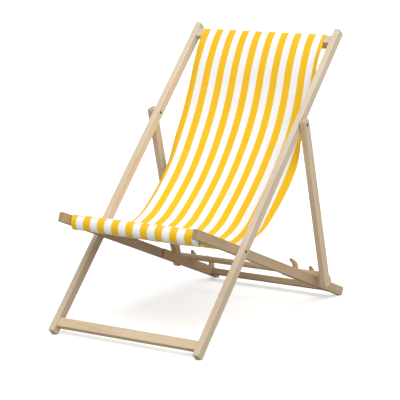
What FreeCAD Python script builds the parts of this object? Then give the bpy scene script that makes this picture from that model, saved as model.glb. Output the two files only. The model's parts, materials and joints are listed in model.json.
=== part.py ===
import FreeCAD, Part
import math
import os

# Wooden folding sling chair.
#
# Frame: +X is the sitter's left-to-right seen from the front, the chair faces -Y, +Z is up.
# The origin is on the ground, in the middle of the chair's footprint box.
#
# Every member lies in a plane parallel to YZ. It is built in a local frame with X across the
# chair, Y along the member ("u") and Z square to it ("v"), and then turned about X into place:
#   main frame     u runs up the rail from the foot,      v points to the front and up
#   seat frame     u runs back and down from the pivot,   v points up
#   support frame  u runs down the strut from the pivot,  v points to the back

# ---- driving dimensions, millimetres and degrees -------------------------------------------

RAIL_THICK = 20.0            # every side rail and strut, across the chair
RAIL_DEEP = 30.0             # the same, in the side plane
EDGE_ROUND = 2.0             # softened wood edges

SLING_WIDTH = 456.0
SLING_EDGE_GAP = 3.5         # from the sling's edge to the seat rail
SIDE_GAP = 1.6               # between two nested frames

MAIN_LENGTH = 1200.0
MAIN_ANGLE = 46.2            # main rail above the ground
MAIN_TO_SEAT_PIVOT = 366.0   # from the foot, along the rail
MAIN_TO_SUPPORT_PIVOT = 834.0
FOOT_CUT = 3.0               # height of the corner planed off to make each foot flat

SEAT_FRONT = 242.0           # from the seat pivot to the front end of the seat rail
SEAT_REAR = 686.0            # from the seat pivot to the rear end

STRUT_ABOVE = 15.0           # strut above its pivot
STRUT_BELOW = 555.0          # strut below its pivot
STRUT_TO_BAR = 516.0         # from the strut's pivot to the crossbar
STRUT_CHAMFER = 8.0          # at the strut's lower end
BAR_RADIUS = 10.0
BAR_TENON_RADIUS = 7.0
BAR_TENON_LENGTH = 12.0

TOP_RAIL_HEIGHT = 30.0       # along the main rail
TOP_RAIL_DEPTH = 20.0
TOP_RAIL_FROM_END = 39.0     # from the main rail's top end to the rail's centre
FOOT_RAIL_HEIGHT = 30.0
FOOT_RAIL_DEPTH = 20.0
FOOT_RAIL_FROM_END = 36.0
FRONT_RAIL_WIDTH = 20.0      # along the seat rail
FRONT_RAIL_HEIGHT = 30.0
FRONT_RAIL_FROM_END = 50.0
REAR_RAIL_WIDTH = 30.0
REAR_RAIL_HEIGHT = 20.0
REAR_RAIL_FROM_END = 51.0

PEG_RADIUS = 3.0             # hidden wooden pegs that join the cross rails
PEG_IN_SIDE = 10.0
PEG_IN_RAIL = 20.0
PEG_SPREAD = 7.0             # each peg's distance from the cross rail's centre

NOTCH_PITCH = 115.0          # between the comb's three notches
NOTCH_DEPTH = 5.0            # below the seat rail's top edge
NOTCH_CLEARANCE = 0.4        # around the crossbar
COMB_THICK = 7.0
COMB_AHEAD = 48.0            # comb in front of its first notch's centre
FINGER_TIP_RADIUS = 4.2
FINGER_TIP_RISE = 19.7       # a finger's rounded tip above its notch's centre
FINGER_TIP_AHEAD = 13.5      # and in front of it; the middle finger is shorter, see below
# A finger's back, as places behind its notch's centre and above the rail's middle line.
FINGER_SHOULDER = (16.0, 39.2)
FINGER_BACK = (30.5, 30.2)
FINGER_ROOT = (39.0, RAIL_DEEP / 2)
COMB_PIN_RADIUS = 1.2
COMB_PIN_LENGTH = 16.0

BOLT_RADIUS = 3.0
BOLT_HEAD_RADIUS = 5.0
BOLT_HEAD_HEIGHT = 2.4
BOLT_END_GAP = 3.0           # from the bolt's tip to the sleeve's head
SOCKET_RADIUS = 2.3
SOCKET_DEPTH = 1.3
SLOT_HALF_WIDTH = 0.6        # the screwdriver slot in each sleeve's head
SLEEVE_RADIUS = 4.0
SLEEVE_HEAD_HEIGHT = 2.0
FIT = 0.05                   # radial clearance of a running or sliding fit
HEAD_RECESS = 0.7            # heads sit this far below the wood
COUNTERBORE_CLEARANCE = 0.5
WASHER_RADIUS = 8.0
FACE_CLEARANCE = 0.3         # between faces of two bodies that turn on each other

CANVAS_THICK = 1.6
CANVAS_GAP = 0.3             # between canvas and the wood that it goes round
RIBBON_STEPS = 24            # points that shape each hanging stretch of canvas
SLING_DOWEL_RADIUS = 4.0
TOP_POCKET_SHIFT = -13.0     # each hem's dowel, along its rail's far face from the rail's middle
FRONT_POCKET_SHIFT = -5.0
SLING_OVER_PIVOT = 1.5       # the sling's middle line passes this far above the seat pivot's axis
SLING_SPLIT_GAP = 9.0        # its two parts stop this far from the axis, back and front
# Stations of the hanging curve: share of the straight way, and the sag square to that way as a
# share of its length. The back's way is from the top rail to the pivot, the seat's from the
# pivot to the front rail.
SLING_BACK_SAG = ((0.146, 0.044), (0.288, 0.097), (0.434, 0.142), (0.585, 0.158), (0.736, 0.141),
                  (0.879, 0.091))
SLING_SEAT_SAG = ((0.244, 0.083), (0.501, 0.111), (0.757, 0.082))

FOLD_RATIO = 0.505           # the support frame's turn for each degree of the seat frame's
CUT_PAST = 1.0               # a cutting shape runs this far past the face that it cuts


# ---- places that follow from them ----------------------------------------------------------

HALF_DEEP = RAIL_DEEP / 2

SEAT_INNER = SLING_WIDTH / 2 + SLING_EDGE_GAP
SEAT_OUTER = SEAT_INNER + RAIL_THICK
MAIN_INNER = SEAT_OUTER + SIDE_GAP
MAIN_OUTER = MAIN_INNER + RAIL_THICK
STRUT_INNER = MAIN_OUTER + SIDE_GAP
STRUT_OUTER = STRUT_INNER + RAIL_THICK


class Frame:
    """A member's local frame: an origin in the YZ plane and an angle above +Y."""

    def __init__(self, y, z, angle):
        self.y = y
        self.z = z
        self.angle = math.radians(angle)

    def point(self, u, v):
        """The YZ place of local (u, v)."""
        c, s = math.cos(self.angle), math.sin(self.angle)
        return (self.y + u * c - v * s, self.z + u * s + v * c)

    def local(self, y, z):
        """The local (u, v) of a YZ place."""
        c, s = math.cos(self.angle), math.sin(self.angle)
        return ((y - self.y) * c + (z - self.z) * s, (z - self.z) * c - (y - self.y) * s)

    def put(self, shape):
        """The shape, built in local axes, moved to its place."""
        turn = FreeCAD.Rotation(FreeCAD.Vector(1, 0, 0), math.degrees(self.angle))
        placed = shape.copy()
        placed.Placement = FreeCAD.Placement(FreeCAD.Vector(0, self.y, self.z), turn)
        return placed


def seat_tilt(pivot_height):
    """The seat rail's angle below level that rests its planed rear corner on the ground."""
    reach = math.hypot(SEAT_REAR, HALF_DEEP)
    return math.degrees(math.asin((pivot_height + FOOT_CUT) / reach) - math.atan2(HALF_DEEP, SEAT_REAR))


def strut_place(seat, pivot):
    """The crossbar's (u, v) in the seat frame, and the strut's angle above +Y."""
    v_bar = HALF_DEEP + BAR_RADIUS - NOTCH_DEPTH
    u_pivot, v_pivot = seat.local(*pivot)
    u_bar = u_pivot + math.sqrt(STRUT_TO_BAR ** 2 - (v_pivot - v_bar) ** 2)
    y_bar, z_bar = seat.point(u_bar, v_bar)
    return u_bar, v_bar, math.degrees(math.atan2(z_bar - pivot[1], y_bar - pivot[0]))


MAIN = Frame(0, HALF_DEEP * math.cos(math.radians(MAIN_ANGLE)) - FOOT_CUT, MAIN_ANGLE)
SEAT_PIVOT = MAIN.point(MAIN_TO_SEAT_PIVOT, 0)
SUPPORT_PIVOT = MAIN.point(MAIN_TO_SUPPORT_PIVOT, 0)
SEAT = Frame(*SEAT_PIVOT, -seat_tilt(SEAT_PIVOT[1]))
BAR_U, BAR_V, STRUT_ANGLE = strut_place(SEAT, SUPPORT_PIVOT)
SUPPORT = Frame(*SUPPORT_PIVOT, STRUT_ANGLE)

TOP_RAIL_U = MAIN_LENGTH - TOP_RAIL_FROM_END
FRONT_RAIL_U = FRONT_RAIL_FROM_END - SEAT_FRONT
REAR_RAIL_U = SEAT_REAR - REAR_RAIL_FROM_END
NOTCHES = [BAR_U - NOTCH_PITCH, BAR_U, BAR_U + NOTCH_PITCH]


# ---- small shape helpers -------------------------------------------------------------------

def bar(x0, x1, u0, u1, v0, v1, rounding=EDGE_ROUND):
    """A rectangular bar in local axes with softened edges."""
    box = Part.makeBox(x1 - x0, u1 - u0, v1 - v0, FreeCAD.Vector(x0, u0, v0))
    return box.makeFillet(rounding, box.Edges) if rounding else box


def rod(x0, x1, u, v, radius):
    """A round rod across the chair."""
    return Part.makeCylinder(radius, x1 - x0, FreeCAD.Vector(x0, u, v), FreeCAD.Vector(1, 0, 0))


def mirrored(shape):
    """The same piece on the chair's other side."""
    return shape.mirror(FreeCAD.Vector(0, 0, 0), FreeCAD.Vector(1, 0, 0))


def both_sides(shape):
    """The piece and its mirror image, as separate solids in one node."""
    return Part.makeCompound([shape, mirrored(shape)])


def side_face(outline, x0, x1):
    """A solid from x0 to x1 whose side outline is a list of Part edges in the local side plane."""
    face = Part.Face(Part.Wire(Part.__sortEdges__(outline)))
    return face.extrude(FreeCAD.Vector(x1 - x0, 0, 0)).translated(FreeCAD.Vector(x0, 0, 0))


def at(u, v):
    return FreeCAD.Vector(0, u, v)


def about(u, v, radius, degrees):
    """A place on a circle, at an angle from +u towards +v."""
    return at(u + radius * math.cos(math.radians(degrees)), v + radius * math.sin(math.radians(degrees)))


def bend(u, v, radius, start, end):
    """An arc between two such angles."""
    return Part.Arc(*[about(u, v, radius, degrees) for degrees in (start, (start + end) / 2, end)]).toShape()


def straight(a, b):
    return Part.LineSegment(a, b).toShape()


def above_ground(shape):
    """The placed piece with what would reach below the ground planed off."""
    box = shape.BoundBox
    slab = Part.makeBox(box.XLength + 2, box.YLength + 2, 100,
                        FreeCAD.Vector(box.XMin - 1, box.YMin - 1, -100))
    return shape.cut(slab)


# ---- cross rails and the pegs that join them -----------------------------------------------

def pegs(half_width, u, v, along_u):
    """Two pegs at each end of a cross rail, in the rail's local frame."""
    found = []
    for offset in (-PEG_SPREAD, PEG_SPREAD):
        du, dv = (offset, 0) if along_u else (0, offset)
        right = rod(half_width - PEG_IN_RAIL, half_width + PEG_IN_SIDE, u + du, v + dv, PEG_RADIUS)
        found += [right, mirrored(right)]
    return found


def cross_rail(half_width, u, v, size_u, size_v):
    """A cross rail between two side rails, before its peg holes."""
    whole = bar(-half_width - EDGE_ROUND, half_width + EDGE_ROUND,
                u - size_u / 2, u + size_u / 2, v - size_v / 2, v + size_v / 2)
    return whole.common(bar(-half_width, half_width, u - size_u, u + size_u,
                            v - size_v, v + size_v, 0))


def bored(piece, tools):
    for tool in tools:
        piece = piece.cut(tool)
    return piece


TOP_PEGS = pegs(MAIN_INNER, TOP_RAIL_U, 0, True)
FOOT_PEGS = pegs(MAIN_INNER, FOOT_RAIL_FROM_END, 0, True)
FRONT_PEGS = pegs(SEAT_INNER, FRONT_RAIL_U, 0, False)
REAR_PEGS = pegs(SEAT_INNER, REAR_RAIL_U, 0, True)


# ---- pivots --------------------------------------------------------------------------------
# Each pivot is a sleeve nut in the frame that turns and a bolt from the far side into it.
# "out" is +1 where the sleeve is in the outer member and -1 where it is in the inner one.

def pivot_hardware(sleeve_member, bolt_member, out):
    """Sleeve nut, bolt and washer on the right-hand side, about the local origin.

    A member is (face next to the other member, face away from it), both as x.
    """
    near, far = sleeve_member
    bolt_near, bolt_far = bolt_member
    head_seat = far - out * (HEAD_RECESS + SLEEVE_HEAD_HEIGHT)
    bolt_seat = bolt_far + out * (HEAD_RECESS + BOLT_HEAD_HEIGHT)
    tip = head_seat - out * BOLT_END_GAP

    def along(x0, x1, radius):
        return rod(min(x0, x1), max(x0, x1), 0, 0, radius)

    sleeve = along(bolt_near, head_seat, SLEEVE_RADIUS)
    sleeve = sleeve.fuse(along(head_seat, far - out * HEAD_RECESS, BOLT_HEAD_RADIUS))
    sleeve = sleeve.cut(along(bolt_near - out * CUT_PAST, tip + out * CUT_PAST, BOLT_RADIUS + FIT))
    slot_x = sorted((far - out * (HEAD_RECESS + SOCKET_DEPTH), far))
    sleeve = sleeve.cut(bar(slot_x[0], slot_x[1], -BOLT_HEAD_RADIUS, BOLT_HEAD_RADIUS,
                            -SLOT_HALF_WIDTH, SLOT_HALF_WIDTH, 0))

    bolt = along(bolt_seat, tip, BOLT_RADIUS)
    bolt = bolt.fuse(along(bolt_far + out * HEAD_RECESS, bolt_seat, BOLT_HEAD_RADIUS))
    socket = Part.Face(Part.makePolygon([about(0, 0, SOCKET_RADIUS, 60 * k) for k in range(7)]))
    socket = socket.extrude(FreeCAD.Vector(out * SOCKET_DEPTH, 0, 0))
    bolt = bolt.cut(socket.translated(FreeCAD.Vector(bolt_far + out * HEAD_RECESS, 0, 0)))

    washer = along(bolt_near, near - out * FACE_CLEARANCE, WASHER_RADIUS)
    washer = washer.cut(along(bolt_near - out * CUT_PAST, near + out * CUT_PAST, SLEEVE_RADIUS + FIT))
    return sleeve, bolt, washer


def sleeve_hole(sleeve_member, out):
    """The hole that a member turns about, with the counterbore for the sleeve's head."""
    near, far = sleeve_member
    depth = HEAD_RECESS + SLEEVE_HEAD_HEIGHT + FACE_CLEARANCE
    hole = rod(min(near, far) - CUT_PAST, max(near, far) + CUT_PAST, 0, 0, SLEEVE_RADIUS + FIT)
    ends = sorted((far - out * depth, far + out * CUT_PAST))
    return hole.fuse(rod(ends[0], ends[1], 0, 0, BOLT_HEAD_RADIUS + COUNTERBORE_CLEARANCE))


def bolt_hole(bolt_member, out):
    """The bolt's hole, with the counterbore for its head."""
    near, far = bolt_member
    hole = rod(min(near, far) - CUT_PAST, max(near, far) + CUT_PAST, 0, 0, BOLT_RADIUS + FIT)
    ends = sorted((far + out * (HEAD_RECESS + BOLT_HEAD_HEIGHT), far - out * CUT_PAST))
    return hole.fuse(rod(ends[0], ends[1], 0, 0, BOLT_HEAD_RADIUS + COUNTERBORE_CLEARANCE))


SEAT_RAIL_X = (SEAT_OUTER, SEAT_INNER)       # near face, far face
MAIN_RAIL_FROM_SEAT = (MAIN_INNER, MAIN_OUTER)
MAIN_RAIL_FROM_STRUT = (MAIN_OUTER, MAIN_INNER)
STRUT_X = (STRUT_INNER, STRUT_OUTER)


# ---- main frame ----------------------------------------------------------------------------

def main_rail():
    rail = bar(MAIN_INNER, MAIN_OUTER, 0, MAIN_LENGTH, -HALF_DEEP, HALF_DEEP)
    seat_hole = bolt_hole(MAIN_RAIL_FROM_SEAT, -1).translated(at(MAIN_TO_SEAT_PIVOT, 0))
    support_hole = bolt_hole(MAIN_RAIL_FROM_STRUT, 1).translated(at(MAIN_TO_SUPPORT_PIVOT, 0))
    rail = bored(rail, [seat_hole, support_hole] + TOP_PEGS + FOOT_PEGS)
    return above_ground(MAIN.put(rail))


def top_rail():
    rail = cross_rail(MAIN_INNER, TOP_RAIL_U, 0, TOP_RAIL_HEIGHT, TOP_RAIL_DEPTH)
    return MAIN.put(bored(rail, TOP_PEGS))


def foot_rail():
    rail = cross_rail(MAIN_INNER, FOOT_RAIL_FROM_END, 0, FOOT_RAIL_HEIGHT, FOOT_RAIL_DEPTH)
    return MAIN.put(bored(rail, FOOT_PEGS))


# ---- seat frame ----------------------------------------------------------------------------

def notch_tools(x0, x1):
    """The crossbar's three seats, as cutters."""
    return [rod(x0, x1, u, BAR_V, BAR_RADIUS + NOTCH_CLEARANCE) for u in NOTCHES]


def release_angle():
    """The way that the crossbar takes out of the middle notch as the chair folds, from +u."""
    u_strut, v_strut = SEAT.local(*SUPPORT_PIVOT)
    # Speeds of the crossbar in the seat frame for a small turn of both frames.
    u_way = FOLD_RATIO * (BAR_V - v_strut) - BAR_V
    v_way = BAR_U - FOLD_RATIO * (BAR_U - u_strut)
    return math.atan2(v_way, u_way)


def middle_tip_ahead():
    """How far forward the middle finger's tip may come and leave the crossbar's way out free."""
    angle = release_angle()
    reach = BAR_RADIUS + NOTCH_CLEARANCE + FINGER_TIP_RADIUS
    return -(reach + FINGER_TIP_RISE * math.cos(angle)) / math.sin(angle)


def seat_rail():
    rail = bar(SEAT_INNER, SEAT_OUTER, -SEAT_FRONT, SEAT_REAR, -HALF_DEEP, HALF_DEEP)
    tools = [sleeve_hole(SEAT_RAIL_X, -1)] + notch_tools(SEAT_INNER - CUT_PAST, SEAT_OUTER + CUT_PAST)
    return above_ground(SEAT.put(bored(rail, tools + FRONT_PEGS + REAR_PEGS + comb_pins())))


def finger_outline(u, ahead):
    """One finger over the notch at u: it rises behind the crossbar and leans forwards over it.

    Its underside is a straight edge that touches the crossbar's clearance and the rounded tip.
    """
    inner = BAR_RADIUS + NOTCH_CLEARANCE
    lean = math.atan2(FINGER_TIP_RISE, -ahead)
    lean += math.asin((inner + FINGER_TIP_RADIUS) / math.hypot(ahead, FINGER_TIP_RISE))
    touch = math.degrees(lean) - 90
    tip = (u - ahead, BAR_V + FINGER_TIP_RISE, FINGER_TIP_RADIUS)
    shoulder, back, root = [at(u + du, v) for du, v in (FINGER_SHOULDER, FINGER_BACK, FINGER_ROOT)]
    foot_front, foot_back = at(u + inner, -HALF_DEEP / 2), at(root.y, -HALF_DEEP / 2)
    return [
        bend(u, BAR_V, inner, 0, touch),
        straight(about(u, BAR_V, inner, touch), about(*tip, touch + 180)),
        bend(*tip, touch + 180, 90),
        straight(about(*tip, 90), shoulder),
        Part.Arc(shoulder, back, root).toShape(),
        straight(root, foot_back),
        straight(foot_back, foot_front),
        straight(foot_front, about(u, BAR_V, inner, 0)),
    ]


def comb():
    """The notched plate on the inside of a seat rail. It ends against the rear cross rail."""
    x0, x1 = SEAT_INNER - COMB_THICK, SEAT_INNER
    rear = REAR_RAIL_U - REAR_RAIL_WIDTH / 2
    plate = bar(x0, x1, NOTCHES[0] - COMB_AHEAD, rear, -HALF_DEEP, HALF_DEEP, 0)
    for u, ahead in zip(NOTCHES, (FINGER_TIP_AHEAD, middle_tip_ahead(), FINGER_TIP_AHEAD)):
        plate = plate.fuse(side_face(finger_outline(u, ahead), x0, x1))
    rear_rail_room = bar(x0 - CUT_PAST, x1 + CUT_PAST, rear, rear + REAR_RAIL_WIDTH,
                         -HALF_DEEP, REAR_RAIL_HEIGHT / 2, 0)
    tools = notch_tools(x0 - CUT_PAST, x1 + CUT_PAST) + comb_pins() + [rear_rail_room]
    return bored(plate.removeSplitter(), tools)


def comb_pins():
    """Headless pins through the comb into the rail, between the notches."""
    x0 = SEAT_INNER - COMB_THICK
    places = [NOTCHES[0] - COMB_AHEAD / 2] + [u + NOTCH_PITCH / 2 for u in NOTCHES[:2]]
    return [rod(x0, x0 + COMB_PIN_LENGTH, u, 0, COMB_PIN_RADIUS) for u in places]


def front_rail():
    rail = cross_rail(SEAT_INNER, FRONT_RAIL_U, 0, FRONT_RAIL_WIDTH, FRONT_RAIL_HEIGHT)
    return SEAT.put(bored(rail, FRONT_PEGS))


def rear_rail():
    rail = cross_rail(SEAT_INNER, REAR_RAIL_U, 0, REAR_RAIL_WIDTH, REAR_RAIL_HEIGHT)
    return SEAT.put(bored(rail, REAR_PEGS))


# ---- support frame -------------------------------------------------------------------------

def support_bar():
    whole = rod(-STRUT_INNER, STRUT_INNER, STRUT_TO_BAR, 0, BAR_RADIUS)
    tenons = rod(-STRUT_INNER - BAR_TENON_LENGTH, STRUT_INNER + BAR_TENON_LENGTH,
                 STRUT_TO_BAR, 0, BAR_TENON_RADIUS)
    return whole.fuse(tenons)


def strut():
    body = bar(STRUT_INNER, STRUT_OUTER, -STRUT_ABOVE, STRUT_BELOW, -HALF_DEEP, HALF_DEEP)
    end = STRUT_BELOW + CUT_PAST
    for side in (-1, 1):
        outside = side * (HALF_DEEP + CUT_PAST)
        corner = [at(end, outside), at(STRUT_BELOW - STRUT_CHAMFER - CUT_PAST, outside),
                  at(end, side * (HALF_DEEP - STRUT_CHAMFER - CUT_PAST))]
        cutter = Part.Face(Part.makePolygon(corner + corner[:1]))
        cutter = cutter.extrude(FreeCAD.Vector(RAIL_THICK + 2 * CUT_PAST, 0, 0))
        body = body.cut(cutter.translated(FreeCAD.Vector(STRUT_INNER - CUT_PAST, 0, 0)))
    return SUPPORT.put(bored(body, [sleeve_hole(STRUT_X, 1), support_bar()]))


# ---- the sling -----------------------------------------------------------------------------

def strip(path, x_half):
    """A thin canvas solid about a path of Part edges in the YZ plane."""
    wire = Part.Wire(Part.__sortEdges__(path))
    outline = wire.makeOffset2D(CANVAS_THICK / 2, 0, False, False, False)
    face = Part.Face(outline)
    return face.extrude(FreeCAD.Vector(2 * x_half, 0, 0)).translated(FreeCAD.Vector(-x_half, 0, 0))


def hem(frame, centre_u, centre_v, first, turn, half_first, half_second, pocket_shift):
    """Canvas path round two faces of a cross rail and round the dowel against the third.

    first is the outward direction, in quarter turns from +u, of the face that the canvas
    reaches first, and turn is +1 or -1 for the way that it goes on round the rail.
    Returns the path's edges, where it starts, and the dowel's centre, all in the YZ plane.
    """
    lift = CANVAS_GAP + CANVAS_THICK / 2
    corner = EDGE_ROUND + lift

    def place(a, b):
        """a along the first face's outward direction, b along the second face's."""
        angle = math.radians(90 * first)
        side = math.radians(90 * (first + turn))
        u = centre_u + a * math.cos(angle) + b * math.cos(side)
        v = centre_v + a * math.sin(angle) + b * math.sin(side)
        y, z = frame.point(u, v)
        return FreeCAD.Vector(0, y, z)

    face_1 = half_first + lift
    face_2 = half_second + lift
    ring = SLING_DOWEL_RADIUS + lift
    slant = ring * math.cos(math.radians(45))
    dowel_a = -face_1 - ring
    dowel_b = pocket_shift
    inset = corner * (1 - math.cos(math.radians(45)))
    start = place(face_1, -half_second)
    path = [
        Part.LineSegment(start, place(face_1, face_2 - corner)),
        Part.Arc(place(face_1, face_2 - corner), place(face_1 - inset, face_2 - inset),
                 place(face_1 - corner, face_2)),
        Part.LineSegment(place(face_1 - corner, face_2), place(corner - face_1, face_2)),
        Part.Arc(place(corner - face_1, face_2), place(inset - face_1, face_2 - inset),
                 place(-face_1, face_2 - corner)),
        Part.LineSegment(place(-face_1, face_2 - corner), place(-face_1, dowel_b)),
        Part.Arc(place(-face_1, dowel_b), place(dowel_a, dowel_b - ring),
                 place(dowel_a - ring, dowel_b)),
        Part.Arc(place(dowel_a - ring, dowel_b), place(dowel_a - slant, dowel_b + slant),
                 place(dowel_a, dowel_b + ring)),
    ]
    return [edge.toShape() for edge in path], start, place(dowel_a, dowel_b)


def sagging(start, end, stations):
    """The stations' places below the straight way from start to end."""
    way = end.sub(start)
    below = FreeCAD.Vector(0, -way.z, way.y)
    return [start.add(way * share).add(below * sag) for share, sag in stations]


def hanging_curve(top, front):
    """The smooth curve that the sling's middle line hangs in, from the top rail to the front."""
    over_pivot = FreeCAD.Vector(0, SEAT_PIVOT[0], SEAT_PIVOT[1] + SLING_OVER_PIVOT)
    curve = Part.BSplineCurve()
    curve.interpolate([top] + sagging(top, over_pivot, SLING_BACK_SAG) + [over_pivot]
                      + sagging(over_pivot, front, SLING_SEAT_SAG) + [front])
    return curve


def ribbon(curve, t0, t1, x_half):
    """A thin canvas solid about a stretch of a curve: its faces are the curve moved each way."""
    sides = []
    for side in (-1, 1):
        points = []
        for k in range(RIBBON_STEPS + 1):
            t = t0 + (t1 - t0) * k / RIBBON_STEPS
            along = curve.tangent(t)[0]
            square = FreeCAD.Vector(0, -along.z, along.y)
            points.append(curve.value(t).add(square * (side * CANVAS_THICK / 2)))
        offset = Part.BSplineCurve()
        offset.interpolate(points)
        sides.append(offset)
    low, high = sides
    ends = [Part.LineSegment(low.value(low.FirstParameter), high.value(high.FirstParameter)),
            Part.LineSegment(low.value(low.LastParameter), high.value(high.LastParameter))]
    outline = [side.toShape() for side in sides] + [end.toShape() for end in ends]
    return side_face(outline, -x_half, x_half)


def sling_parts():
    """The back and seat parts of the sling, and the two dowels in its hems."""
    x_half = SLING_WIDTH / 2
    top_path, top_start, top_dowel = hem(MAIN, TOP_RAIL_U, 0, 1, -1, TOP_RAIL_DEPTH / 2,
                                         TOP_RAIL_HEIGHT / 2, TOP_POCKET_SHIFT)
    front_path, front_start, front_dowel = hem(SEAT, FRONT_RAIL_U, 0, 1, 1, FRONT_RAIL_HEIGHT / 2,
                                               FRONT_RAIL_WIDTH / 2, FRONT_POCKET_SHIFT)
    curve = hanging_curve(top_start, front_start)
    t_back, t_seat = [curve.parameter(FreeCAD.Vector(0, SEAT_PIVOT[0] + gap, SEAT_PIVOT[1]))
                      for gap in (SLING_SPLIT_GAP, -SLING_SPLIT_GAP)]
    back = strip(top_path, x_half).fuse(ribbon(curve, curve.FirstParameter, t_back, x_half))
    seat = strip(front_path, x_half).fuse(ribbon(curve, t_seat, curve.LastParameter, x_half))
    dowels = [Part.makeCylinder(SLING_DOWEL_RADIUS, 2 * x_half, centre.sub(FreeCAD.Vector(x_half, 0, 0)),
                                FreeCAD.Vector(1, 0, 0)) for centre in (top_dowel, front_dowel)]
    return back.removeSplitter(), seat.removeSplitter(), dowels


# ---- the whole chair -----------------------------------------------------------------------

def build():
    """Every node's placed shape by name."""
    seat_sleeve, seat_bolt, seat_washer = pivot_hardware(SEAT_RAIL_X, MAIN_RAIL_FROM_SEAT, -1)
    strut_sleeve, strut_bolt, strut_washer = pivot_hardware(STRUT_X, MAIN_RAIL_FROM_STRUT, 1)
    at_seat_pivot = FreeCAD.Vector(0, *SEAT_PIVOT)
    at_support_pivot = FreeCAD.Vector(0, *SUPPORT_PIVOT)
    right_main, right_seat, right_strut = main_rail(), seat_rail(), strut()
    right_comb = SEAT.put(comb())
    back, seat, dowels = sling_parts()
    return {
        "main_rail_right": right_main,
        "main_rail_left": mirrored(right_main),
        "top_rail": top_rail(),
        "foot_rail": foot_rail(),
        "main_frame_pegs": MAIN.put(Part.makeCompound(TOP_PEGS + FOOT_PEGS)),
        "seat_pivot_sleeves": both_sides(seat_sleeve).translated(at_seat_pivot),
        "seat_pivot_bolts": both_sides(seat_bolt).translated(at_seat_pivot),
        "seat_pivot_washers": both_sides(seat_washer).translated(at_seat_pivot),
        "support_pivot_sleeves": both_sides(strut_sleeve).translated(at_support_pivot),
        "support_pivot_bolts": both_sides(strut_bolt).translated(at_support_pivot),
        "support_pivot_washers": both_sides(strut_washer).translated(at_support_pivot),
        "sling_back": back,
        "top_sling_dowel": dowels[0],
        "seat_rail_right": right_seat,
        "seat_rail_left": mirrored(right_seat),
        "seat_front_rail": front_rail(),
        "seat_rear_rail": rear_rail(),
        "seat_frame_pegs": SEAT.put(Part.makeCompound(FRONT_PEGS + REAR_PEGS)),
        "notch_comb_right": right_comb,
        "notch_comb_left": mirrored(right_comb),
        "comb_pins": SEAT.put(both_sides(Part.makeCompound(comb_pins()))),
        "sling_seat": seat,
        "front_sling_dowel": dowels[1],
        "strut_right": right_strut,
        "strut_left": mirrored(right_strut),
        "support_crossbar": SUPPORT.put(support_bar()),
    }


def main():
    os.makedirs("parts", exist_ok=True)
    nodes = build()
    box = Part.makeCompound(list(nodes.values())).optimalBoundingBox(False, False)
    to_centre = FreeCAD.Vector(0, -(box.YMin + box.YMax) / 2, 0)
    for name, shape in nodes.items():
        shape.translated(to_centre).exportStep("parts/" + name + ".step")
    print("height %.1f, width %.1f, depth %.1f" % (box.ZMax, box.XLength, box.YLength))
    for label, place in (("seat pivot", SEAT_PIVOT), ("support pivot", SUPPORT_PIVOT)):
        print("%s at y %.3f z %.3f" % (label, place[0] + to_centre.y, place[1]))


main()
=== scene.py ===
import json
import math

import bpy
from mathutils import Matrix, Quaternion, Vector, noise


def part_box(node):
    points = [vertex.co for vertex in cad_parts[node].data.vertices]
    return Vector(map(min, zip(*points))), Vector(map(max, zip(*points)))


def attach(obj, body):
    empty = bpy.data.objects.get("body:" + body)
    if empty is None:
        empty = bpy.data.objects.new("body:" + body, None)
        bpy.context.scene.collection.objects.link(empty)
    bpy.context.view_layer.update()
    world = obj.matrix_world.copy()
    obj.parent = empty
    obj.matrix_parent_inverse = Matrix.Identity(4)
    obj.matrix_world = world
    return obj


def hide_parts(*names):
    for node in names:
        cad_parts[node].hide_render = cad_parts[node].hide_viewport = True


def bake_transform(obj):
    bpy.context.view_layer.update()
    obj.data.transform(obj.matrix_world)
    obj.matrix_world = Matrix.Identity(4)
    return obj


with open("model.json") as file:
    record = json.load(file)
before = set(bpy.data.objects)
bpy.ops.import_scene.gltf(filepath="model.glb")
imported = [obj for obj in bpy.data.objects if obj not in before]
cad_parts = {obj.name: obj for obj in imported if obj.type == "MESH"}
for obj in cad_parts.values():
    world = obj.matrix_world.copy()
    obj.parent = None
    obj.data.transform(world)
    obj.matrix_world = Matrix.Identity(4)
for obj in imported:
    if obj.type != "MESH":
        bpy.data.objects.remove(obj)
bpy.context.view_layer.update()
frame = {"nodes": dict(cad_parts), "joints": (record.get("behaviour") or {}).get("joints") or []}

# Wooden sling chair. Metres; the chair faces -Y and +Z is up. Angles are above +Y, in the side plane.

MAIN_SLOPE = math.radians(46.2)
SEAT_SLOPE = math.radians(-22.333)
STRUT_SLOPE = math.radians(-75.972)

STRIPES = 19
STRIPE = 0.025
YELLOW_SHARE = 0.515           # of each pair of stripes
SELVEDGE = 0.0005              # keeps the cloth's edges inside its first and last stripes
THREAD = 0.0011                # from one thread of the weave to the next
HELD_LEFT, HELD_RIGHT = -0.229, 0.230    # the canvas's edges where a rail holds it
FREE_LEFT, FREE_RIGHT = -0.2360, 0.2480  # and where it hangs free, along its rolled edges
FLAT_HALF = 0.200              # it is flat this far from its middle, and its edges roll from there
EDGE_ROLL = 0.030              # radius of those rolled edges
CANVAS_THICK = 0.0014
CANVAS_LIFT = 0.0011           # from the wood to the canvas's middle
SLING_COLUMNS = 84
SLING_OVER_PIVOT = 0.0015
WAVE = 0.0030                  # height of the hanging cloth's slow waves,
RIPPLE = 0.0009                # of its fine ripples
BELLY = 0.0035                 # and of its slack middle
LOOSE_SHARE = 0.72             # the edges hang free down to this share of the hanging length

EDGE_ROUND = 0.002
TOP_RAIL_HEIGHT = 0.030        # along the side rail
TOP_RAIL_DEPTH = 0.020         # square to it
DOWEL_RADIUS = 0.004
TOP_DOWEL_SHIFT = -0.013       # the hem's dowel, along the side rail from the top rail's middle

STITCH = (0.0014, 0.00045, 0.00035)      # half sizes of one stitch
STITCH_PITCH = 0.0042
STITCH_PROUD = 0.0001
STITCHED_WIDTH = 0.451
TOP_STITCHES = (-0.0068, -0.0045)        # each row, along the side rail from the top rail's middle
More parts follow.
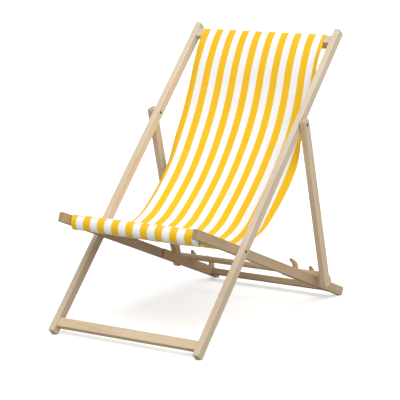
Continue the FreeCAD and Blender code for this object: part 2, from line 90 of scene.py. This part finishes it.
# Each row under the front roll: its place ahead of and above the front rail's middle, and the way
# straight out of the canvas there.
FRONT_STITCHES = (((0.0035, -0.0224), (0.54, -0.84)), ((0.0062, -0.0200), (0.66, -0.75)))

# The hanging canvas: share of the straight way, and the sag square to it as a share of the way.
BACK_SAG = ((0.0464, 0.0075), (0.0976, 0.0219), (0.1500, 0.0420), (0.2149, 0.0710), (0.2889, 0.0985),
            (0.3650, 0.1185), (0.4408, 0.1310), (0.5150, 0.1375), (0.5886, 0.1395), (0.6766, 0.1345),
            (0.7634, 0.1235), (0.8366, 0.1080), (0.9150, 0.0680))
SEAT_SAG = ((0.244, 0.083), (0.501, 0.111), (0.757, 0.082))

# Down the hanging canvas: share of its length, where its stripes begin on the left, and how widely
# they are spread, because the cloth is pulled a little askew.
STRIPE_RUN = ((0.00, -0.2289, 0.995), (0.05, -0.2301, 1.003), (0.10, -0.2330, 1.013),
              (0.16, -0.2353, 1.023), (0.22, -0.2370, 1.030), (0.33, -0.2360, 1.027),
              (0.40, -0.2320, 1.010), (0.50, -0.2300, 1.003), (0.61, -0.2325, 1.015),
              (0.70, -0.2400, 1.047), (0.85, -0.2390, 1.050), (1.00, -0.2365, 1.047))
# How far each free edge rolls: share of the length, left and right. Backwards is positive.
EDGE_RUN = ((0.00, 0.0, 0.0), (0.06, 0.3, -0.38), (0.14, 0.3, -0.42), (0.22, 0.15, -0.45),
            (0.34, 0.25, -0.40), (0.42, 0.75, 0.3), (0.52, 1.0, 0.7), (0.62, 0.9, 0.7), (0.72, 0.4, 0.3),
            (0.82, 0.0, 0.0), (1.00, 0.0, 0.0))
# The full round roll over the front rail and its dowel: ahead of and above the rail's middle.
FRONT_ROLL = ((-0.0100, 0.0176), (-0.0040, 0.0190), (0.0035, 0.0180), (0.0095, 0.0130), (0.0132, 0.0060),
              (0.0142, -0.0015), (0.0128, -0.0095), (0.0092, -0.0168), (0.0035, -0.0224),
              (-0.0035, -0.0257), (-0.0095, -0.0245), (-0.0114, -0.0185))

# Pale and dark tones. The main frame is bleached by the sun, and the seat frame is oiled darker.
BLEACHED = ((0.720, 0.610, 0.465, 1), (0.550, 0.435, 0.300, 1))
OILED = ((0.545, 0.400, 0.245, 1), (0.375, 0.247, 0.133, 1))
STRUT_WOOD = ((0.690, 0.545, 0.375, 1), (0.520, 0.380, 0.235, 1))
REDDISH = ((0.580, 0.400, 0.245, 1), (0.410, 0.250, 0.135, 1))
FLECK_BROWN = (0.20, 0.12, 0.06, 1)
# the pivots' steel: painted shade of their recesses, darker than their zinc plating
PIVOT_SHADE_STEEL = (0.150, 0.145, 0.140, 1)
BRIGHT = (0.62, 0.60, 0.56, 1)
YELLOW = ((0.965, 0.575, 0.020, 1), (0.935, 0.550, 0.017, 1))
WHITE = ((0.970, 0.970, 0.965, 1), (0.950, 0.950, 0.950, 1))
SEWING_THREAD = ((0.78, 0.76, 0.70, 1), (0.62, 0.60, 0.54, 1))
FLOOR_SEEN = (0.93, 0.93, 0.93, 1)
FLOOR_GLOW = (0.42, 0.42, 0.42, 1)
FLOOR_GIVING_BACK = (0.45, 0.45, 0.45, 1)
NO_GLOW = (0, 0, 0, 1)

# How far each effect takes the wood from its pale tone to its dark one.
RING_DEPTH = 0.24
TONE_DEPTH = 0.36
FIBRE_DEPTH = 0.28
END_GRAIN_DEPTH = 0.55
# painted shade, darkening the main rails towards their feet
FOOT_SHADE_DEPTH = 0.50
RUBBED_DEPTH = 0.22
SHADED_BELOW, UNSHADED_ABOVE = 0.12, 0.62  # heights above the floor between which painted shade turns the feet darker

ROOM_LIGHT = 0.53
OVERHEAD_POWER = 2.5
OVERHEAD_SPREAD = math.radians(70)
OVERHEAD_WAY = Vector((-0.45, 0.35, -0.82))

CAMERA_PLACE = Vector((2.8758, -4.3461, 1.3915))
CAMERA_YAW = math.radians(33.62)
CAMERA_PITCH = math.radians(-11.10)
CAMERA_ROLL = math.radians(-0.62)
CAMERA_LENS = 153.0            # millimetres, as is the sensor's width
CAMERA_SENSOR = 36.0


# ---- places ------------------------------------------------------------------------------

def joint_place(name):
    return Vector(next(j["pos_m"] for j in frame["joints"] if j["name"] == name))


def node_centre(name):
    low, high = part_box(name)
    return (Vector(low) + Vector(high)) / 2


def side_place(origin, slope, u, v):
    """The place in the side plane at u along a member and v square to it."""
    return Vector((0, origin.y + u * math.cos(slope) - v * math.sin(slope),
                   origin.z + u * math.sin(slope) + v * math.cos(slope)))


SEAT_PIVOT = joint_place("seat_fold")
SUPPORT_PIVOT = joint_place("support_fold")


# ---- shader building blocks --------------------------------------------------------------

class Nodes:
    """Short calls that add and join shader nodes in one tree."""

    def __init__(self, tree):
        self.tree = tree

    def add(self, kind, **settings):
        node = self.tree.nodes.new(kind)
        for name, value in settings.items():
            setattr(node, name, value)
        return node

    def feed(self, socket, value):
        if isinstance(value, bpy.types.NodeSocket):
            self.tree.links.new(value, socket)
        else:
            socket.default_value = value

    def math(self, operation, a, b=0.0, clamp=False):
        """One step of arithmetic on numbers or sockets."""
        node = self.add("ShaderNodeMath", operation=operation, use_clamp=clamp)
        self.feed(node.inputs[0], a)
        self.feed(node.inputs[1], b)
        return node.outputs[0]

    def stretched(self, place, factors):
        """A place with each of its coordinates multiplied by its own factor."""
        node = self.add("ShaderNodeVectorMath", operation="MULTIPLY")
        self.feed(node.inputs[0], place)
        self.feed(node.inputs[1], factors)
        return node.outputs[0]

    def ramp(self, value, low, high, to_low=0.0, to_high=1.0):
        """A smooth step from to_low to to_high as the value goes from low to high."""
        node = self.add("ShaderNodeMapRange", interpolation_type="SMOOTHSTEP")
        for socket, number in zip(node.inputs[:5], (value, low, high, to_low, to_high)):
            self.feed(socket, number)
        return node.outputs[0]

    def mix(self, factor, a, b):
        """A colour between a and b. A colour mix has its two colours on sockets 6 and 7."""
        node = self.add("ShaderNodeMix", data_type="RGBA")
        self.feed(node.inputs["Factor"], factor)
        self.feed(node.inputs[6], a)
        self.feed(node.inputs[7], b)
        return node.outputs[2]

    def noise(self, place, scale=1.0, detail=3.0, roughness=0.5):
        node = self.add("ShaderNodeTexNoise")
        self.feed(node.inputs["Vector"], place)
        node.inputs["Scale"].default_value = scale
        node.inputs["Detail"].default_value = detail
        node.inputs["Roughness"].default_value = roughness
        return node.outputs["Fac"]

    def split(self, place):
        node = self.add("ShaderNodeSeparateXYZ")
        self.feed(node.inputs[0], place)
        return node.outputs


def new_group(name, inputs, outputs):
    """An empty node group with named sockets. Returns the group, its Nodes, and both ends' sockets."""
    group = bpy.data.node_groups.new(name, "ShaderNodeTree")
    for in_out, sockets in (("INPUT", inputs), ("OUTPUT", outputs)):
        for label, kind in sockets:
            group.interface.new_socket(label, in_out=in_out, socket_type="NodeSocket" + kind)
    nodes = Nodes(group)
    return group, nodes, nodes.add("NodeGroupInput").outputs, nodes.add("NodeGroupOutput").inputs


def new_finish(name):
    """A material with only its Principled shader and output."""
    material = bpy.data.materials.new(name)
    material.use_nodes = True
    nodes = Nodes(material.node_tree)
    shader = next(n for n in material.node_tree.nodes if n.type == "BSDF_PRINCIPLED")
    return material, nodes, shader


def add_bump(nodes, shader, height, distance):
    bump = nodes.add("ShaderNodeBump")
    bump.inputs["Distance"].default_value = distance
    nodes.feed(bump.inputs["Height"], height)
    nodes.feed(shader.inputs["Normal"], bump.outputs[0])


# ---- wood --------------------------------------------------------------------------------

def timber_group():
    """Planed hardwood with its grain along Y, in the member's own axes. Its last input is 1 where painted
    shade darkens the wood towards its feet."""
    group, n, given, out = new_group(
        "planed_timber",
        [("Place", "Vector"), ("Surface", "Vector"), ("Pale", "Color"), ("Dark", "Color"),
         ("Half Sizes", "Vector"), ("Foot Shade", "Float")],
        [("Color", "Color"), ("Roughness", "Float"), ("Height", "Float")])
    place = given["Place"]

    # growth rings, cut lengthwise: faint wavy bands of uneven width that drift along the member
    wander = n.noise(n.stretched(place, (26.0, 1.6, 26.0)), roughness=0.6)
    x, y, z = n.split(place)
    across = n.math("ADD", n.math("MULTIPLY", x, 0.80), n.math("MULTIPLY", z, 0.55))
    phase = n.math("ADD", n.math("MULTIPLY", across, 520.0), n.math("MULTIPLY", wander, 38.0))
    rings = n.math("ADD", n.math("MULTIPLY", n.math("SINE", phase), 0.5), 0.5)
    strength = n.ramp(n.noise(n.stretched(place, (40.0, 5.0, 40.0)), detail=2.0), 0.35, 0.70)
    rings = n.math("MULTIPLY", n.math("POWER", rings, 1.6), strength)

    # fine fibres and short dark flecks along the grain
    fibres = n.noise(n.stretched(place, (1500.0, 28.0, 1500.0)), roughness=0.6)
    flecks = n.ramp(n.noise(n.stretched(place, (620.0, 75.0, 620.0)), detail=1.0), 0.66, 0.74)

    # slow change of tone from one stretch of the member to the next
    tone = n.ramp(n.noise(n.stretched(place, (14.0, 3.2, 14.0)), detail=2.0), 0.3, 0.7)

    # the ends, where the cut fibres drink up more oil
    facing = n.math("ABSOLUTE", n.split(given["Surface"])[1])
    end_grain = n.ramp(facing, 0.72, 0.92)

    # edges rubbed a little paler, close to where two side faces meet
    half = n.split(given["Half Sizes"])
    gap_x = n.math("SUBTRACT", half[0], n.math("ABSOLUTE", x))
    gap_z = n.math("SUBTRACT", half[2], n.math("ABSOLUTE", z))
    rubbed = n.ramp(n.math("MAXIMUM", gap_x, gap_z), 0.0004, 0.0026, 1.0, 0.0)

    depth = n.math("MULTIPLY", rings, RING_DEPTH)
    # each effect darkens the wood; the last one is painted shade towards the feet
    for effect, amount in ((tone, TONE_DEPTH), (n.ramp(fibres, 0.25, 0.8), FIBRE_DEPTH),
                           (end_grain, END_GRAIN_DEPTH), (given["Foot Shade"], FOOT_SHADE_DEPTH)):
        depth = n.math("ADD", depth, n.math("MULTIPLY", effect, amount))
    depth = n.math("SUBTRACT", depth, n.math("MULTIPLY", rubbed, RUBBED_DEPTH), clamp=True)
    colour = n.mix(depth, given["Pale"], given["Dark"])
    colour = n.mix(n.math("MULTIPLY", flecks, 0.22), colour, FLECK_BROWN)
    n.feed(out["Color"], colour)
    n.feed(out["Roughness"], n.math("ADD", n.math("MULTIPLY", fibres, 0.22), 0.44))
    height = n.math("SUBTRACT", n.math("MULTIPLY", fibres, 0.6), n.math("MULTIPLY", flecks, 0.7))
    n.feed(out["Height"], n.math("ADD", height, n.math("MULTIPLY", rings, 0.25)))
    return group


TIMBER = timber_group()


def timber(name, origin, slope, half_sizes, tones, crosswise=False, shaded_foot=False):
    """Wood for one member, with the grain turned to run along it, or across the chair. The half
    sizes place its rubbed edges."""
    material, n, shader = new_finish("timber_" + name)
    place = n.add("ShaderNodeTexCoord")
    turn = n.add("ShaderNodeMapping", vector_type="TEXTURE")
    turn.inputs["Location"].default_value = origin
    turn.inputs["Rotation"].default_value = (0, 0, -math.pi / 2) if crosswise else (slope, 0, 0)
    n.feed(turn.inputs["Vector"], place.outputs["Object"])
    face = n.add("ShaderNodeMapping", vector_type="TEXTURE")
    face.inputs["Rotation"].default_value = turn.inputs["Rotation"].default_value
    n.feed(face.inputs["Vector"], place.outputs["Normal"])
    wood = n.add("ShaderNodeGroup", node_tree=TIMBER)
    n.feed(wood.inputs["Place"], turn.outputs[0])
    n.feed(wood.inputs["Surface"], face.outputs[0])
    n.feed(wood.inputs["Pale"], tones[0])
    n.feed(wood.inputs["Dark"], tones[1])
    n.feed(wood.inputs["Half Sizes"], half_sizes)
    # painted shade: the wood turns darker towards the floor
    if shaded_foot:
        height = n.split(place.outputs["Object"])[2]
        n.feed(wood.inputs["Foot Shade"], n.ramp(height, SHADED_BELOW, UNSHADED_ABOVE, 1.0, 0.0))
    n.feed(shader.inputs["Base Color"], wood.outputs["Color"])
    n.feed(shader.inputs["Roughness"], wood.outputs["Roughness"])
    shader.inputs["Specular IOR Level"].default_value = 0.35
    add_bump(n, shader, wood.outputs["Height"], 0.00025)
    return material


def finish_node(node, material):
    mesh = frame["nodes"][node].data
    mesh.materials.clear()
    mesh.materials.append(material)


def finish_timbers():
    rail, comb = (0.010, 1, 0.015), (0.0035, 1, 0.015)
    for side in ("right", "left"):
        for member, pivot, slope, half, tones in (("main_rail_", SEAT_PIVOT, MAIN_SLOPE, rail, BLEACHED),
                                                  ("seat_rail_", SEAT_PIVOT, SEAT_SLOPE, rail, OILED),
                                                  ("notch_comb_", SEAT_PIVOT, SEAT_SLOPE, comb, REDDISH),
                                                  ("strut_", SUPPORT_PIVOT, STRUT_SLOPE, rail, STRUT_WOOD)):
            node = member + side
            centre = Vector((node_centre(node).x, pivot.y, pivot.z))
            # only the main rails, which stand on the floor, get the painted shade at their feet
            stands = member == "main_rail_"
            finish_node(node, timber(node, centre, slope, half, tones, shaded_foot=stands))
    no_edges = (0.05, 1, 0.05)     # for round pieces, far outside them
    for node, half, tones in (("top_rail", (0.011, 1, 0.010), BLEACHED),
                              ("foot_rail", (0.015, 1, 0.010), STRUT_WOOD),
                              ("seat_front_rail", (0.010, 1, 0.015), OILED),
                              ("seat_rear_rail", (0.015, 1, 0.010), OILED),
                              ("support_crossbar", no_edges, STRUT_WOOD),
                              ("top_sling_dowel", no_edges, REDDISH),
                              ("front_sling_dowel", no_edges, REDDISH),
                              ("main_frame_pegs", no_edges, REDDISH),
                              ("seat_frame_pegs", no_edges, REDDISH)):
        finish_node(node, timber(node, node_centre(node), 0, half, tones, crosswise=True))


# ---- metal -------------------------------------------------------------------------------

def dull_steel(name, base, rough):
    """Dull steel with faint turning marks and a patchy finish."""
    material, n, shader = new_finish(name)
    place = n.add("ShaderNodeTexCoord").outputs["Object"]
    patches = n.noise(place, scale=240.0)
    marks = n.noise(n.stretched(place, (6000.0, 900.0, 900.0)), detail=1.0)
    colour = n.mix(n.ramp(patches, 0.35, 0.7), base, [c * 0.62 for c in base[:3]] + [1])
    n.feed(shader.inputs["Base Color"], colour)
    n.feed(shader.inputs["Roughness"], n.math("ADD", n.math("MULTIPLY", patches, 0.25), rough))
    shader.inputs["Metallic"].default_value = 1.0
    add_bump(n, shader, marks, 0.00005)
    return material


def finish_metal():
    # painted shade: the pivots' steel is darkened as their recesses are shaded
    shaded_pivot_steel = dull_steel("pivot_steel_painted_shade", PIVOT_SHADE_STEEL, 0.34)
    for pivot in ("seat_pivot_", "support_pivot_"):
        for piece in ("sleeves", "bolts", "washers"):
            finish_node(pivot + piece, shaded_pivot_steel)
    finish_node("comb_pins", dull_steel("bright_wire", BRIGHT, 0.22))


# ---- canvas ------------------------------------------------------------------------------

def canvas_group():
    """Plain weave in the cloth's own metres, U across it and V along it. Slub is the thickness of
    the threads, and Shade darkens the gaps between them."""
    group, n, given, out = new_group("plain_weave", [("Cloth", "Vector"), ("Thread", "Float")],
                                     [("Height", "Float"), ("Shade", "Float"), ("Slub", "Float")])
    u, v, _ = n.split(given["Cloth"])
    warp = n.math("DIVIDE", u, given["Thread"])
    weft = n.math("DIVIDE", v, given["Thread"])
    over = n.math("SINE", n.math("MULTIPLY", warp, math.pi))
    under = n.math("SINE", n.math("MULTIPLY", weft, math.pi))
    weave = n.math("MULTIPLY", over, under)
    n.feed(out["Height"], n.math("ADD", n.math("MULTIPLY", weave, 0.5), 0.5))
    slub = n.noise(n.stretched(given["Cloth"], (420.0, 24.0, 1.0)), detail=2.0)
    cross_slub = n.noise(n.stretched(given["Cloth"], (22.0, 380.0, 1.0)), detail=2.0)
    n.feed(out["Slub"], n.math("MULTIPLY", n.math("ADD", slub, cross_slub), 0.5))
    n.feed(out["Shade"], n.math("ADD", n.math("MULTIPLY", n.math("ABSOLUTE", weave), 0.10), 0.90))
    return group


WEAVE = canvas_group()


def striped_canvas():
    material, n, shader = new_finish("striped_canvas")
    cloth = n.add("ShaderNodeUVMap", uv_map="cloth_metres").outputs[0]
    weave = n.add("ShaderNodeGroup", node_tree=WEAVE)
    n.feed(weave.inputs["Cloth"], cloth)
    weave.inputs["Thread"].default_value = THREAD

    # stripes, counted from the cloth's edge, whose own edges waver by a thread
    u = n.split(cloth)[0]
    waver = n.math("MULTIPLY", n.math("SUBTRACT", weave.outputs["Slub"], 0.5), 0.0012)
    count = n.math("DIVIDE", n.math("ADD", u, waver), 2 * STRIPE)
    share = n.math("FRACT", count)
    edge = 0.008
    rise = n.ramp(share, 0.0, edge)
    fall = n.ramp(share, YELLOW_SHARE - edge, YELLOW_SHARE, 1.0, 0.0)
    fade = n.ramp(n.noise(cloth, scale=7.0), 0.35, 0.7)
    colour = n.mix(n.math("MULTIPLY", rise, fall), n.mix(fade, *WHITE), n.mix(fade, *YELLOW))
    shade = n.math("MULTIPLY", weave.outputs["Shade"],
                   n.ramp(weave.outputs["Slub"], 0.30, 0.70, 0.955, 1.03))
    darker = n.add("ShaderNodeVectorMath", operation="SCALE")
    n.feed(darker.inputs[0], colour)
    n.feed(darker.inputs["Scale"], shade)
    n.feed(shader.inputs["Base Color"], darker.outputs[0])
    shader.inputs["Roughness"].default_value = 0.88
    shader.inputs["Specular IOR Level"].default_value = 0.12
    shader.inputs["Sheen Weight"].default_value = 0.05
    shader.inputs["Sheen Roughness"].default_value = 0.5
    height = n.math("ADD", n.math("MULTIPLY", weave.outputs["Height"], 0.8),
                    n.math("MULTIPLY", weave.outputs["Slub"], 0.6))
    add_bump(n, shader, height, 0.00022)
    return material


def sewing_thread():
    material, n, shader = new_finish("sewing_thread")
    place = n.add("ShaderNodeTexCoord").outputs["Object"]
    twist = n.noise(n.stretched(place, (2600.0, 5200.0, 5200.0)), detail=1.0)
    n.feed(shader.inputs["Base Color"], n.mix(twist, *SEWING_THREAD))
    shader.inputs["Roughness"].default_value = 0.7
    add_bump(n, shader, twist, 0.0001)
    return material


# ---- the sling ---------------------------------------------------------------------------

def arc(place, centre, radius, start, end, steps):
    """Points on a round bend. centre is (a, b), and the angles are from +a towards +b, in degrees."""
    points = []
    for k in range(steps + 1):
        angle = math.radians(start + (end - start) * k / steps)
        points.append(place(centre[0] + radius * math.cos(angle), centre[1] + radius * math.sin(angle)))
    return points


def top_hem_line():
    """The canvas from the front of the top rail over its top and down its back, then round the dowel
    and back on itself."""
    rail = node_centre("top_rail")

    def place(a, b):
        """a square to the side rail, towards the sitter, and b up along it."""
        return side_place(rail, MAIN_SLOPE, b, a)

    front = TOP_RAIL_DEPTH / 2 + CANVAS_LIFT
    top = TOP_RAIL_HEIGHT / 2 + CANVAS_LIFT
    bend = EDGE_ROUND + CANVAS_LIFT
    ring = DOWEL_RADIUS + CANVAS_LIFT
    points = [place(front, -TOP_RAIL_HEIGHT / 2), place(front, 0)]
    points += arc(place, (front - bend, top - bend), bend, 0, 90, 6)
    points.append(place(0, top))
    points += arc(place, (bend - front, top - bend), bend, 90, 180, 6)
    points += arc(place, (-front - ring, TOP_DOWEL_SHIFT), ring, 0, -230, 20)
    flap = -front - CANVAS_LIFT - CANVAS_THICK / 2
    points.append(place(flap - 0.0012, TOP_DOWEL_SHIFT + 0.0058))
    points.append(place(flap, TOP_DOWEL_SHIFT + 0.0078))
    return points


def front_roll_line():
    """The canvas over the front rail and round its dowel."""
    rail = node_centre("seat_front_rail")
    places = [side_place(rail, SEAT_SLOPE, -ahead, above) for ahead, above in FRONT_ROLL]
    return smooth_way(places, 6)


def smooth_way(stations, steps):
    """A smooth line through the stations, with evenly shared bends."""
    last = len(stations) - 1
    ways = []
    for k, here in enumerate(stations):
        before, after = stations[max(k - 1, 0)], stations[min(k + 1, last)]
        ways.append((after - before) / ((after - here).length + (here - before).length))
    points = []
    for a, b, way_a, way_b in zip(stations, stations[1:], ways, ways[1:]):
        third = (b - a).length / 3
        p, q = a + way_a * third, b - way_b * third
        for step in range(steps):
            t = step / steps
            points.append(a * (1 - t) ** 3 + p * 3 * t * (1 - t) ** 2 + q * 3 * t * t * (1 - t) + b * t ** 3)
    return points + [stations[-1]]


def sagging(start, end, stations):
    """Places below the straight way from start to end."""
    way = end - start
    below = Vector((0, -way.z, way.y))
    return [start + way * share + below * sag for share, sag in stations]


def sling_line():
    """The sling's middle line from its top hem to its front hem, and where the hanging part begins
    and ends on it."""
    top = top_hem_line()
    front = front_roll_line()
    over_pivot = SEAT_PIVOT + Vector((0, 0, SLING_OVER_PIVOT))
    stations = [top[0]] + sagging(top[0], over_pivot, BACK_SAG) + [over_pivot]
    stations += sagging(over_pivot, front[0], SEAT_SAG) + [front[0]]
    hanging = smooth_way(stations, 9)
    line = top[:0:-1] + hanging + front[1:]
    return line, len(top) - 1, len(top) - 1 + len(hanging) - 1


def lengths_along(line):
    found = [0.0]
    for a, b in zip(line, line[1:]):
        found.append(found[-1] + (b - a).length)
    return found


def deselect():
    if bpy.context.object and bpy.context.object.mode != "OBJECT":
        bpy.ops.object.mode_set(mode="OBJECT")
    bpy.ops.object.select_all(action="DESELECT")


def pick(piece):
    """Select the piece alone, and make it the one that operators act on."""
    deselect()
    piece.select_set(True)
    bpy.context.view_layer.objects.active = piece


def apply_modifier(piece, name, kind, **settings):
    pick(piece)
    modifier = piece.modifiers.new(name, kind)
    for key, value in settings.items():
        setattr(modifier, key, value)
    bpy.ops.object.modifier_apply(modifier=name)


def along_run(run, share):
    """The two values of a table at a share of the length, between its rows."""
    for low, high in zip(run, run[1:]):
        if share <= high[0]:
            t = (share - low[0]) / (high[0] - low[0])
            return low[1] + (high[1] - low[1]) * t, low[2] + (high[2] - low[2]) * t
    return run[-1][1:]


def rolled(a, roll):
    """Where a place across the cloth comes to on its rolled edge: across the chair, and backwards."""
    bend = max(0, abs(a) - FLAT_HALF) * roll / EDGE_ROLL
    if abs(bend) < 0.001:
        return a, 0
    radius = EDGE_ROLL / roll
    return math.copysign(FLAT_HALF + radius * math.sin(bend), a), radius * (1 - math.cos(bend))


def across_chair(part, share):
    """Where a part of the cloth's width lies across the chair, before its edges roll."""
    loose = math.sin(math.pi * min(share / LOOSE_SHARE, 1)) ** 0.5
    left = HELD_LEFT + (FREE_LEFT - HELD_LEFT) * loose
    right = HELD_RIGHT + (FREE_RIGHT - HELD_RIGHT) * loose
    return left * (1 - part) + right * part


def unevenness(x, along, share):
    """How far the cloth stands out towards the sitter, nothing where the cross rails hold it."""
    wave = noise.noise(Vector((x * 5.0, along * 3.2, 1.7))) * WAVE
    ripple = noise.noise(Vector((x * 26.0, along * 4.0, 8.3))) * RIPPLE
    belly = (math.cos(x / HELD_RIGHT * math.pi / 2) - 0.6) * BELLY
    return math.sin(math.pi * share) ** 0.7 * (wave + ripple - belly)


def sling():
    """The cloth and its length."""
    line, hang_start, hang_end = sling_line()
    along = lengths_along(line)
    first, last = along[hang_start], along[hang_end]

    deselect()
    bpy.ops.mesh.primitive_grid_add(x_subdivisions=SLING_COLUMNS, y_subdivisions=len(line) - 1, size=1)
    piece = bpy.context.object
    piece.name = "striped_sling"
    mesh = piece.data
    on_cloth = {}
    for vertex in mesh.vertices:
        row = round((vertex.co.y + 0.5) * (len(line) - 1))
        ahead = line[min(row + 1, len(line) - 1)] - line[max(row - 1, 0)]
        out = Vector((0, ahead.z, -ahead.y)).normalized()   # towards the sitter
        share = min(max((along[row] - first) / (last - first), 0), 1)
        a = across_chair(vertex.co.x + 0.5, share)
        left_roll, right_roll = along_run(EDGE_RUN, share)
        x, depth = rolled(a, left_roll if a < 0 else right_roll)
        vertex.co = line[row] + out * (unevenness(x, along[row], share) - depth) + Vector((x, 0, 0))
        left, spread = along_run(STRIPE_RUN, share)
        u = min(max((a - left) / spread, SELVEDGE), STRIPES * STRIPE - SELVEDGE)
        on_cloth[vertex.index] = (u, along[row])

    uv = mesh.uv_layers[0]
    uv.name = "cloth_metres"
    for loop in mesh.loops:
        uv.data[loop.index].uv = on_cloth[loop.vertex_index]

    mesh.materials.append(striped_canvas())
    pick(piece)
    bpy.ops.object.mode_set(mode="EDIT")
    bpy.ops.mesh.select_all(action="SELECT")
    bpy.ops.mesh.normals_make_consistent(inside=False)
    bpy.ops.object.mode_set(mode="OBJECT")
    apply_modifier(piece, "thickness", "SOLIDIFY", thickness=CANVAS_THICK, offset=0)
    pick(piece)
    bpy.ops.object.shade_smooth_by_angle(angle=math.radians(60))
    return piece, along[-1]


def stitch_row(name, place, material):
    """A row of lockstitches across the sling, through a place in the side plane."""
    deselect()
    bpy.ops.mesh.primitive_uv_sphere_add(segments=8, ring_count=5, radius=1)
    piece = bpy.context.object
    piece.name = name
    bpy.ops.transform.resize(value=STITCH)
    bpy.ops.transform.translate(value=(-STITCHED_WIDTH / 2, place.y, place.z))
    bpy.ops.object.transform_apply(location=True, rotation=True, scale=True)
    apply_modifier(piece, "row", "ARRAY", fit_type="FIXED_COUNT",
                   count=int(STITCHED_WIDTH / STITCH_PITCH) + 1,
                   use_relative_offset=False, use_constant_offset=True,
                   constant_offset_displace=(STITCH_PITCH, 0, 0))
    piece.data.materials.append(material)
    pick(piece)
    bpy.ops.object.shade_smooth()
    return piece


def hem_stitching():
    """Two rows beside each hem's dowel."""
    thread = sewing_thread()
    proud = CANVAS_THICK / 2 + STITCH_PROUD
    behind = TOP_RAIL_DEPTH / 2 + 2 * CANVAS_LIFT + CANVAS_THICK + 2 * STITCH_PROUD
    top_rail, front_rail = node_centre("top_rail"), node_centre("seat_front_rail")
    top_places = [side_place(top_rail, MAIN_SLOPE, up, -behind) for up in TOP_STITCHES]
    front_places = [side_place(front_rail, SEAT_SLOPE, -ahead - proud * out_ahead, above + proud * out_up)
                    for (ahead, above), (out_ahead, out_up) in FRONT_STITCHES]
    rows = []
    for hem, body, places in (("top", "main_frame", top_places), ("front", "seat_frame", front_places)):
        for letter, place in zip("ab", places):
            row = stitch_row(hem + "_hem_stitches_" + letter, place, thread)
            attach(row, body)
            rows.append(row)
    return rows


def build_sling():
    piece, cloth_length = sling()
    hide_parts("sling_back", "sling_seat")
    rows = hem_stitching()
    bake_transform(piece)


# ---- floor, light and camera -------------------------------------------------------------

def floor():
    """A white sweep. It glows a little so that it stays white in the chair's soft shadow, and gives
    back less light than it shows, as a floor further away would."""
    deselect()
    bpy.ops.mesh.primitive_plane_add(size=80, location=(0, 0, 0))
    ground = bpy.context.object
    ground.name = "studio_floor"
    material, n, shader = new_finish("white_sweep")
    seen = n.add("ShaderNodeLightPath").outputs["Is Camera Ray"]
    n.feed(shader.inputs["Base Color"], n.mix(seen, FLOOR_GIVING_BACK, FLOOR_SEEN))
    n.feed(shader.inputs["Emission Color"], n.mix(seen, NO_GLOW, FLOOR_GLOW))
    shader.inputs["Emission Strength"].default_value = 1.0
    shader.inputs["Roughness"].default_value = 0.9
    shader.inputs["Specular IOR Level"].default_value = 0.1
    ground.data.materials.append(material)


def studio():
    """White all round, with one very wide and even light from high in front, on the +X side."""
    world = bpy.data.worlds.new("white_studio")
    bpy.context.scene.world = world
    world.use_nodes = True
    background = world.node_tree.nodes["Background"]
    background.inputs["Color"].default_value = (1, 1, 1, 1)
    background.inputs["Strength"].default_value = ROOM_LIGHT
    light = bpy.data.lights.new("overhead_light", "SUN")
    light.energy = OVERHEAD_POWER
    light.angle = OVERHEAD_SPREAD
    lamp = bpy.data.objects.new("overhead_light", light)
    bpy.context.scene.collection.objects.link(lamp)
    lamp.rotation_mode = "QUATERNION"
    lamp.rotation_quaternion = OVERHEAD_WAY.to_track_quat("-Z", "Y")


def camera():
    lens = bpy.data.cameras.new("view")
    lens.lens = CAMERA_LENS
    lens.sensor_width = CAMERA_SENSOR
    lens.clip_end = 200.0
    eye = bpy.data.objects.new("view", lens)
    bpy.context.scene.collection.objects.link(eye)
    ahead = Vector((-math.sin(CAMERA_YAW) * math.cos(CAMERA_PITCH),
                    math.cos(CAMERA_YAW) * math.cos(CAMERA_PITCH), math.sin(CAMERA_PITCH)))
    eye.location = CAMERA_PLACE
    eye.rotation_mode = "QUATERNION"
    eye.rotation_quaternion = ahead.to_track_quat("-Z", "Y") @ Quaternion((0, 0, 1), CAMERA_ROLL)
    bpy.context.scene.camera = eye
    bpy.context.scene.view_settings.view_transform = "Standard"


finish_timbers()
finish_metal()
build_sling()
floor()
studio()
camera()
